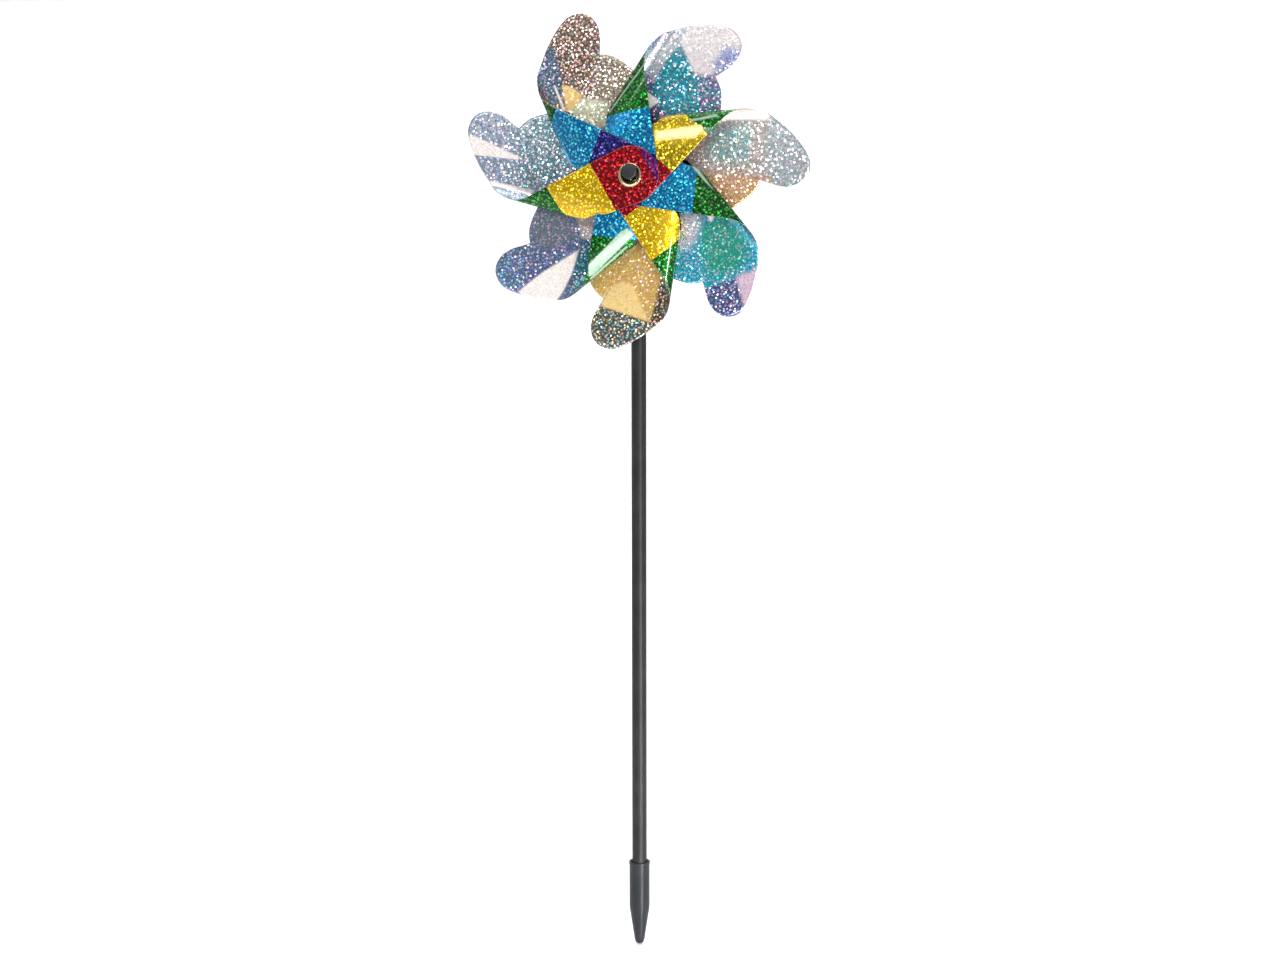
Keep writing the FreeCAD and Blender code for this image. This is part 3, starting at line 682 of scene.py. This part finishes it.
def flat_outlines(sizes, loop, step):
    """Leading and trailing edges of the flat film, each as five matched stretches.

    Both run from the back hub tab, round the petal and over the curl, to the arm's tip.  The
    points are (along the petal, run); they are chosen as shares of the reach and curl side.
    """
    run, side, _ = strip_section(loop, sizes)
    middle = int(np.argmax(side))

    def back(points):
        points = np.asarray(points, float)
        return np.stack([points[:, 0], np.interp(points[:, 1], side[:middle + 1], run[:middle + 1])], -1)

    def front(points):
        points = np.asarray(points, float)
        return np.stack([points[:, 0],
                         np.interp(-points[:, 1], -side[middle:], run[middle:])], -1)

    def at(*pairs):
        return np.asarray(pairs, float) * (sizes.reach, sizes.curl_side)

    tab = sizes.tip_radius * sizes.tab_share
    tip = sizes.tip_radius
    # Back trailing edge: from the tab round the inner lobe to the notch, then the outer lobe.
    inner_lobe = smooth_curve(at((0.27, -0.66), (0.34, -0.80), (0.42, -0.84), (0.50, -0.775),
                                 (0.565, -0.675), (0.62, -0.585), (0.669, -0.48), (0.702, -0.355),
                                 (0.723, -0.242)))
    outer_lobe = smooth_curve(at((0.723, -0.242), (0.757, -0.284), (0.815, -0.382), (0.886, -0.416),
                                 (0.949, -0.355), (0.987, -0.224), (1.0, -0.05), (0.991, 0.105),
                                 (0.949, 0.342), (0.886, 0.592), (0.819, 0.79)))
    trailing = np.vstack([hub_arc(tab, -48, -48, 1), inner_lobe, outer_lobe[1:]])
    trailing = even_steps(trailing, 900)
    # It stops just under the next blade's curl.
    under = sizes.curl_side - 0.25 * loop
    past_tab = 0.117 * sizes.reach
    turn = math.radians(step)
    next_along = trailing[:, 0] * math.cos(turn) - trailing[:, 1] * math.sin(turn)
    next_side = trailing[:, 0] * math.sin(turn) + trailing[:, 1] * math.cos(turn)
    next_side = np.where((next_along > past_tab) & (next_side < under), under, next_side)
    trailing = np.stack([next_along * math.cos(turn) + next_side * math.sin(turn),
                         next_side * math.cos(turn) - next_along * math.sin(turn)], -1)

    lean_out = math.radians(42.2)
    lean_in = math.radians(33.4)
    arm_out = np.array([tip * math.sin(lean_out), -tip * math.cos(lean_out)])
    arm_in = np.array([-tip * math.sin(lean_in), tip * math.cos(lean_in)])
    corner_out = arm_out + 0.44 * sizes.reach * np.array([math.cos(lean_out), math.sin(lean_out)])
    corner_in = arm_in + 0.20 * sizes.reach * np.array([math.cos(lean_in), math.sin(lean_in)])

    curl_out = np.vstack([back(at((0.819, 0.79), (0.752, 0.945), (0.652, 1.0))),
                          front(at((0.577, 0.925), (0.515, 0.78))), front([corner_out])])
    curl_in = np.vstack([back(at((0.130, 0.80), (0.17, 0.90), (0.27, 1.0))),
                         front(at((0.199, 0.96), (0.15, 0.864))), front([corner_in])])
    blunt = 6
    outer = [back(hub_arc(tab, 217 + blunt, 312)), back(trailing), smooth_curve(curl_out),
             front([corner_out, arm_out]), front(hub_arc(tip, -47.8, -142.2 + blunt))]
    inner = [back(hub_arc(tab, 217 - blunt, 122)),
             back(np.vstack([hub_arc(tab, 122, 122, 1), at((0.130, 0.80))])), smooth_curve(curl_in),
             front([corner_in, arm_in]), front(hub_arc(tip, 123.4, 217.8 - blunt))]
    counts = (10, 170, 34, 30, 18)
    outer = [even_steps(path, count) for path, count in zip(outer, counts)]
    inner = [even_steps(path, count) for path, count in zip(inner, counts)]
    return np.vstack(outer), np.vstack(inner)


def blade_surface(index, sizes, rows=56):
    """Points and faces of one blade's sheet, and its flat coordinates.

    Flat point = inner edge * (1 - v) + outer edge * v.  The section turns its run into side
    and lift, soft ripples are added away from the hub, and the result is turned to the
    blade's direction and set at the blade's own depth in the stack.
    """
    low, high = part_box("blade_%d" % (index + 1))
    loop = (high[1] - low[1]) - sizes.cad_film
    depth = -high[1] + sizes.cad_film / 2
    following = BLADE_DIRECTIONS[(index + 1) % BLADE_COUNT]
    step = (BLADE_DIRECTIONS[index] - following) % 360
    outer, inner = flat_outlines(sizes, loop, step)
    keep = np.concatenate([[True], np.hypot(*np.diff(outer, axis=0).T) > 1e-6])
    outer = outer[keep]
    inner = inner[keep]
    share = np.linspace(0, 1, rows)[:, None, None]
    flat = inner * (1 - share) + outer * share
    run, side_of, lift_of = strip_section(loop, sizes)
    stretch_from = 55 * MM
    along = flat[..., 0]
    along = along + np.clip(along - stretch_from, 0, None) * (PETAL_STRETCH[index] - 1)
    side = np.interp(flat[..., 1], run, side_of)
    lift = np.interp(flat[..., 1], run, lift_of)
    hub_run = run[-1] - 60 * MM
    # Ripples fade out where the films are stacked at the hub and under the curl.
    out = np.hypot(along, side)
    free = np.clip((out - 42 * MM) / (35 * MM), 0, 1) ** 2
    wave = np.sin(along / (19 * MM) + 1.7 * index) + 0.7 * np.sin(side / (13 * MM) + 2.3 * index + 1)
    back_side = np.clip((hub_run * 0.45 - flat[..., 1]) / (10 * MM), 0, 1)
    lift = lift + sizes.ripple * wave * free * (0.25 + 0.75 * back_side)
    angle = math.radians(BLADE_DIRECTIONS[index])
    centre = (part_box("front_eyelet")[0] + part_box("front_eyelet")[1]) / 2
    points = np.stack([centre[0] + along * math.cos(angle) - side * math.sin(angle),
                       -(depth + lift),
                       centre[2] + along * math.sin(angle) + side * math.cos(angle)], -1)
    faces = grid_faces(*flat.shape[:2])
    # The film has a hole at each hub, hidden in the eyelet's barrel and rim.
    middle = flat.reshape(-1, 2)[faces].mean(1)
    hole = 6.3 * MM
    solid = (np.hypot(middle[:, 0], middle[:, 1]) > hole) & \
            (np.hypot(middle[:, 0], middle[:, 1] - hub_run) > hole)
    return points, faces[solid], flat, hub_run


class SPINNER_OT_blades(bpy.types.Operator):
    """Make the seven film blades with their printed and plain faces"""
    bl_idname = "spinner.blades"
    bl_label = "Film Blades"

    def execute(self, context):
        sizes = context.scene.spinner_film
        colours = context.scene.spinner_colours
        edge = film_edge_finish("film_edge", shade(150, 152, 155))
        for index in range(BLADE_COUNT):
            name = "film_blade_%d" % (index + 1)
            points, faces, flat, hub_run = blade_surface(index, sizes)
            tip_ink, middle_ink, first_end, second_end = PRINTS[index]
            bands = [(0, tip_ink), (first_end * MM, middle_ink), (second_end * MM, GREEN),
                     (86 * MM, SILVER)]
            # The print finish also carries the arm's painted highlights; the silver finish carries the petal's
            # painted reflection.
            printed = printed_film_finish(name + "_print", bands, ARM_SHOW_THROUGH_AND_PAINTED_HIGHLIGHTS[index], hub_run, colours, index + 1)
            silver = silver_film_finish(name + "_silver", *PETALS[index], colours, index + 1)
            piece = make_piece(name, points, [faces], [printed, silver, edge])
            mesh = piece.data
            number = np.full((*flat.shape[:2], 1), index)
            attribute = mesh.attributes.new("film_place", "FLOAT_VECTOR", "POINT")
            attribute.data.foreach_set("vector", np.concatenate([flat, number], -1).ravel())
            drop_loose_points(mesh)
            thicken = piece.modifiers.new("film", "SOLIDIFY")
            thicken.thickness = sizes.film
            thicken.offset = 0.0
            thicken.material_offset = 1
            thicken.material_offset_rim = 2
            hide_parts("blade_%d" % (index + 1))
            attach(piece, "wheel")
        return {"FINISHED"}


def drop_loose_points(mesh):
    """Remove the points that no face uses."""
    work = bmesh.new()
    work.from_mesh(mesh)
    loose = [point for point in work.verts if not point.link_faces]
    bmesh.ops.delete(work, geom=loose, context="VERTS")
    work.to_mesh(mesh)
    work.free()


# ------------------------------------------------------------------ hub
def eyelet_outline(bore, wall, flange, rim, reach):
    """Closed section of an eyelet: straight barrel, rolled edge, and a funnel down into the bore.

    The rolled edge is a half circle of diameter rim; the funnel is a curve through shares of
    the flange width and of the rim.
    """
    roll = np.radians(np.linspace(-90, 90, 15))
    half = rim / 2
    edge = np.stack([flange - half + half * np.cos(roll), half + half * np.sin(roll)], -1)
    funnel = np.array([(0.84, 1.0), (0.66, 0.90), (0.44, 0.58), (0.24, 0.18), (0.08, -0.30), (0.0, -0.82)])
    funnel = smooth_curve(funnel * (flange - bore, rim) + (bore, 0), 6)
    return np.vstack([[(bore, -reach), (bore + wall, -reach), (bore + wall, 0)], edge, funnel])


class SPINNER_OT_eyelets(bpy.types.Operator):
    """Make the front and back eyelets with rolled rims"""
    bl_idname = "spinner.eyelets"
    bl_label = "Eyelets"

    def execute(self, context):
        look = context.scene.spinner_hub
        finish = brass_finish("eyelet_brass", tuple(look.brass))
        for node, outward in (("front_eyelet", 1), ("back_eyelet", -1)):
            low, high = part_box(node)
            centre = (low + high) / 2
            flange = (high[0] - low[0]) / 2
            rim = 1.1 * MM
            bore = 4.4 * MM
            reach = (high[1] - low[1]) - rim
            outline = eyelet_outline(bore, 0.5 * MM, flange, rim, reach)
            outline[:, 1] *= outward
            seat = low[1] + rim if outward > 0 else high[1] - rim
            piece = turned_piece("rolled_" + node, outline, (centre[0], seat, centre[2]), True, finish)
            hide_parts(node)
            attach(piece, "wheel")
        return {"FINISHED"}


class SPINNER_OT_axle_pin(bpy.types.Operator):
    """Make the axle pin with its domed head"""
    bl_idname = "spinner.axle_pin"
    bl_label = "Axle Pin"

    def execute(self, context):
        low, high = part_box("axle_pin")
        centre = (low + high) / 2
        head = (high[0] - low[0]) / 2
        shank = 2.1 * MM
        head_height = 2.6 * MM
        front = -low[1]
        tail = -high[1]
        back = front - head_height
        # The head: a short straight side, a soft shoulder and a shallow dome, y = 1 - r squared.
        shoulder = (head * 0.8, front - 0.12 * MM)
        side = rounded([(shank, back), (head, back), (head, front - 0.55 * MM), shoulder],
                       (0, 0.3 * MM, 0.8 * MM, 0))
        dome = np.linspace(0.78, 0, 9)
        top = np.stack([head * dome, front - 0.12 * MM * (dome / 0.8) ** 2], -1)
        outline = np.vstack([[(0, tail), (shank * 0.8, tail), (shank, tail + 0.6 * MM)], side, top])
        finish = plastic_finish("pin_black", tuple(context.scene.spinner_hub.pin), 0.42, 2600.0, 0.05 * MM)
        piece = turned_piece("domed_axle_pin", outline, (centre[0], 0, centre[2]), True, finish)
        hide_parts("axle_pin")
        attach(piece, "stake")
        return {"FINISHED"}


class SPINNER_OT_hub_plastics(bpy.types.Operator):
    """Give the hub tube, spacer, retainer and top cap their moulded finishes"""
    bl_idname = "spinner.hub_plastics"
    bl_label = "Hub Plastics"

    def execute(self, context):
        look = context.scene.spinner_hub
        tube = plastic_finish("tube_plastic_natural", tuple(look.tube), 0.45, 1800.0, 0.04 * MM)
        black = plastic_finish("cap_plastic_black", tuple(look.pin), 0.5, 2200.0, 0.05 * MM)
        for node, finish in (("hub_tube", tube), ("pole_spacer", black), ("pin_retainer", black),
                             ("pole_top_cap", black)):
            dress(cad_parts[node], finish)
        return {"FINISHED"}


def dress(piece, finish):
    """Put one finish in every material slot of a piece."""
    slots = piece.data.materials
    if not slots:
        slots.append(finish)
    for place in range(len(slots)):
        slots[place] = finish


# ------------------------------------------------------------------ stake
class SPINNER_OT_pole(bpy.types.Operator):
    """Give the pole its matt drawn-plastic finish"""
    bl_idname = "spinner.pole"
    bl_label = "Pole"

    def execute(self, context):
        finish = plastic_finish("pole_charcoal", tuple(context.scene.spinner_stake.pole), 0.5, 1500.0,
                                0.05 * MM, streak=0.8, shine=0.3, turned=0.5)
        dress(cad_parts["pole"], finish)
        return {"FINISHED"}


class SPINNER_OT_ground_spike(bpy.types.Operator):
    """Make the ground spike with its rim, lead-in mouth, taper and rounded point"""
    bl_idname = "spinner.ground_spike"
    bl_label = "Ground Spike"

    def execute(self, context):
        look = context.scene.spinner_stake
        low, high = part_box("ground_spike")
        pole_low, pole_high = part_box("pole")
        pole = (pole_high[0] - pole_low[0]) / 2
        barrel = pole + look.spike_wall
        rim = (high[0] - low[0]) / 2
        top = high[2]
        mouth = pole + look.mouth_gap
        lead_end = top - look.mouth_depth
        floor = pole_low[2] - 0.1 * MM
        socket = pole + 0.02 * MM
        tip = look.tip_radius
        bottom = low[2]
        corners = [(0, floor), (socket, floor), (socket, lead_end - look.mouth_gap), (mouth, lead_end),
                   (mouth, top), (rim, top), (rim, 0), (barrel, 0), (barrel, -look.barrel),
                   (tip, bottom + tip * 0.75), (tip * 0.72, bottom), (0, bottom)]
        radii = (0, 0, 0.3 * MM, 0.3 * MM, 0.25 * MM, 0.7 * MM, 0.25 * MM, 0.15 * MM, 2.5 * MM,
                 1.6 * MM, 1.5 * MM, 0)
        outline = rounded(corners, radii, 9)
        finish = plastic_finish("spike_slate", tuple(look.spike), 0.42, 1100.0, 0.015 * MM,
                                shine=0.32, turned=0.75)
        piece = turned_piece("moulded_ground_spike", outline, (0, 0, 0), False, finish, 128)
        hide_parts("ground_spike")
        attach(piece, "stake")
        return {"FINISHED"}


# ------------------------------------------------------------------ stage
def look_rotation(place, target):
    """Rotation of a light that points from place to target."""
    return (Vector(target) - Vector(place)).to_track_quat("-Z", "Y").to_euler()


class SPINNER_OT_stage(bpy.types.Operator):
    """Set up the pale floor and backdrop, the soft studio lights and the camera"""
    bl_idname = "spinner.stage"
    bl_label = "Stage"

    def execute(self, context):
        scene = context.scene
        look = scene.spinner_stage
        level = CAD_LOW[2] - 0.5 * MM
        # Floor and backdrop: flat, then a quarter circle, then upright, carried sideways.
        bend = np.radians(np.linspace(0, 90, 16))
        run = np.concatenate([[-3.2], 1.9 + 0.8 * np.sin(bend), [2.7]])
        rise = np.concatenate([[0], 0.8 - 0.8 * np.cos(bend), [3.2]])
        width = np.array([-4.0, 4.0])
        points = np.stack([np.broadcast_to(width[None], (len(run), 2)),
                           np.broadcast_to(run[:, None], (len(run), 2)),
                           np.broadcast_to((level + rise)[:, None], (len(run), 2))], -1)
        finish = Finish("stage_paper")
        grain = finish.noise(finish.object_place(), 90.0, 4.0)
        finish.set(Base_Color=finish.mix(grain, tuple(look.floor), [part * 0.985 for part in look.floor]),
                   Roughness=0.85)
        sweep = make_piece("studio_sweep", points, [grid_faces(len(run), 2)[:, ::-1]], [finish.material])

        # A grey card behind the camera: flat film mirrors it, tipped glitter looks past it.
        half = 0.65
        corner = np.array([[-half, half], [-half, half]])
        card_points = np.stack([-0.4 + corner, np.full((2, 2), -2.0), 0.57 + corner.T], -1)
        card_finish = Finish("card_grey")
        card_grain = card_finish.noise(card_finish.object_place(), 60.0, 3.0)
        card_finish.set(Base_Color=card_finish.mix(card_grain, [look.card] * 3, [look.card * 0.92] * 3),
                        Roughness=0.9)
        card = make_piece("studio_card", card_points, [grid_faces(2, 2)], [card_finish.material])
        card.visible_camera = False

        world = bpy.data.worlds.new("studio")
        scene.world = world
        world.use_nodes = True
        world.node_tree.nodes["Background"].inputs["Color"].default_value = (0.95, 0.97, 1.0, 1)
        world.node_tree.nodes["Background"].inputs["Strength"].default_value = 0.62

        centre = Vector((0, -0.02, (CAD_LOW[2] + CAD_HIGH[2]) / 2 + 0.1))
        foot = Vector((0, 0, CAD_LOW[2] / 2))
        behind = Vector((-0.2, 1.4, 0))
        # Lamps are (name, place, size, power, target, spread in degrees).
        lamps = (("key", (-0.3, -1.15, 1.02), (0.9, 0.2), 4.5, centre, 180),
                 ("strip", (0.71, -0.84, 0.14), (0.06, 0.34), 6.5, centre, 180),
                 ("foot", (0.71, -0.84, 0.08), (0.06, 0.22), 0.5, foot, 30),
                 ("top", (0.1, -0.1, 1.9), (1.4, 1.0), 9, centre, 180),
                 ("low", (0.3, -0.75, 0.02), (0.7, 0.15), 2, centre, 180),
                 ("backdrop", (-0.25, 1.0, 2.3), (3.2, 0.9), 54, behind, 180))
        for name, place, size, power, target, spread in lamps:
            data = bpy.data.lights.new(name, "AREA")
            data.shape = "RECTANGLE"
            data.size = size[0]
            data.size_y = size[1]
            data.energy = power
            data.spread = math.radians(spread)
            lamp = bpy.data.objects.new(name, data)
            lamp.location = place
            lamp.rotation_euler = look_rotation(place, target)
            scene.collection.objects.link(lamp)

        camera_data = bpy.data.cameras.new("camera")
        camera_data.lens = look.lens
        camera_data.sensor_width = 36.0
        camera = bpy.data.objects.new("camera", camera_data)
        turn = math.radians(look.azimuth)
        camera.location = (look.distance * math.sin(turn), -look.distance * math.cos(turn), look.height)
        camera.rotation_euler = (math.radians(90 - look.pitch), 0.0014, turn - 0.0002)
        scene.collection.objects.link(camera)
        scene.camera = camera
        scene.view_settings.view_transform = "Standard"
        return {"FINISHED"}


# ------------------------------------------------------------------ panel and registration
class SPINNER_PT_panel(bpy.types.Panel):
    """Buttons for every part of the spinner"""
    bl_idname = "SPINNER_PT_panel"
    bl_label = "Wind Spinner"
    bl_space_type = "VIEW_3D"
    bl_region_type = "UI"
    bl_category = "Spinner"

    def draw(self, context):
        column = self.layout.column()
        for operator in OPERATORS:
            column.operator(operator.bl_idname)
        for name, group in GROUPS:
            box = self.layout.box()
            for key in group.__annotations__:
                box.prop(getattr(context.scene, name), key)


GROUPS = (("spinner_film", FilmSizes), ("spinner_colours", FilmColours), ("spinner_hub", HubLook),
          ("spinner_stake", StakeLook), ("spinner_stage", StageLook))
OPERATORS = (SPINNER_OT_blades, SPINNER_OT_eyelets, SPINNER_OT_axle_pin, SPINNER_OT_hub_plastics,
             SPINNER_OT_pole, SPINNER_OT_ground_spike, SPINNER_OT_stage)


def register():
    for name, group in GROUPS:
        bpy.utils.register_class(group)
        setattr(bpy.types.Scene, name, bpy.props.PointerProperty(type=group))
    for operator in OPERATORS:
        bpy.utils.register_class(operator)
    bpy.utils.register_class(SPINNER_PT_panel)


def unregister():
    bpy.utils.unregister_class(SPINNER_PT_panel)
    for operator in reversed(OPERATORS):
        bpy.utils.unregister_class(operator)
    for name, group in reversed(GROUPS):
        delattr(bpy.types.Scene, name)
        bpy.utils.unregister_class(group)


def main():
    """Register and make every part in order."""
    register()
    bpy.ops.spinner.blades()
    bpy.ops.spinner.eyelets()
    bpy.ops.spinner.axle_pin()
    bpy.ops.spinner.hub_plastics()
    bpy.ops.spinner.pole()
    bpy.ops.spinner.ground_spike()
    bpy.ops.spinner.stage()


if __name__ == "__main__":
    main()
